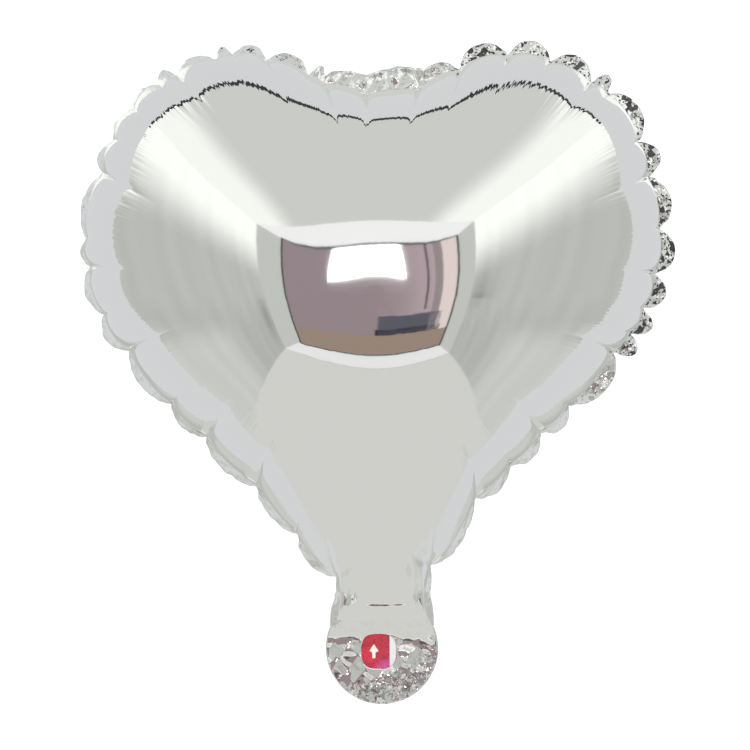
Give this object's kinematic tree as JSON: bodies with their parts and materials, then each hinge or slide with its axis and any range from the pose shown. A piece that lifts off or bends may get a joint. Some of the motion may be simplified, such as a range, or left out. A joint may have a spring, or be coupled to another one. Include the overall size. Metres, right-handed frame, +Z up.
{
  "type": "foil balloon",
  "caption": "Heart-shaped balloon of metallised film, filled with gas, with a neck to tie, a fold-over tab and a self-sealing fill valve behind a cut window.",
  "frame": {"origin": "the middle of the neck's waist, where a ribbon or stick is tied", "axes": "+Z up through the cleft, +X to the right as seen from the front, and the front with the fill window faces -Y"},
  "size_m": [0.209, 0.1072, 0.2352],
  "materials": {
    "foil": "mirror-bright metallised film, crinkled along its seals",
    "weld": "finely embossed heat seal",
    "valve_film": "clear limp film",
    "release_ink": "glossy translucent red ink",
    "arrow_ink": "matte white print"
  },
  "bodies": {
    "balloon": {"front_panel": "foil", "back_panel": "foil", "edge_weld": "weld", "cross_weld": "weld", "valve_front_film": "valve_film", "valve_back_film": "valve_film", "valve_side_welds": "valve_film", "release_ink_upper": "release_ink"},
    "tab": {"tab_front_sheet": "foil", "tab_back_sheet": "foil", "tab_weld": "weld", "mouth_front_film": "valve_film", "mouth_back_film": "valve_film", "mouth_side_welds": "valve_film", "release_ink_lower": "release_ink", "fill_arrow": "arrow_ink"}
  },
  "joints": [
    {"name": "tab_fold", "type": "hinge", "parent": "balloon", "child": "tab", "pos_m": [0, 0, -0.01429], "axis": [1, 0, 0], "range_deg": [-120, 120], "stiffness_Nm_per_rad": 0.00001}
  ]
}
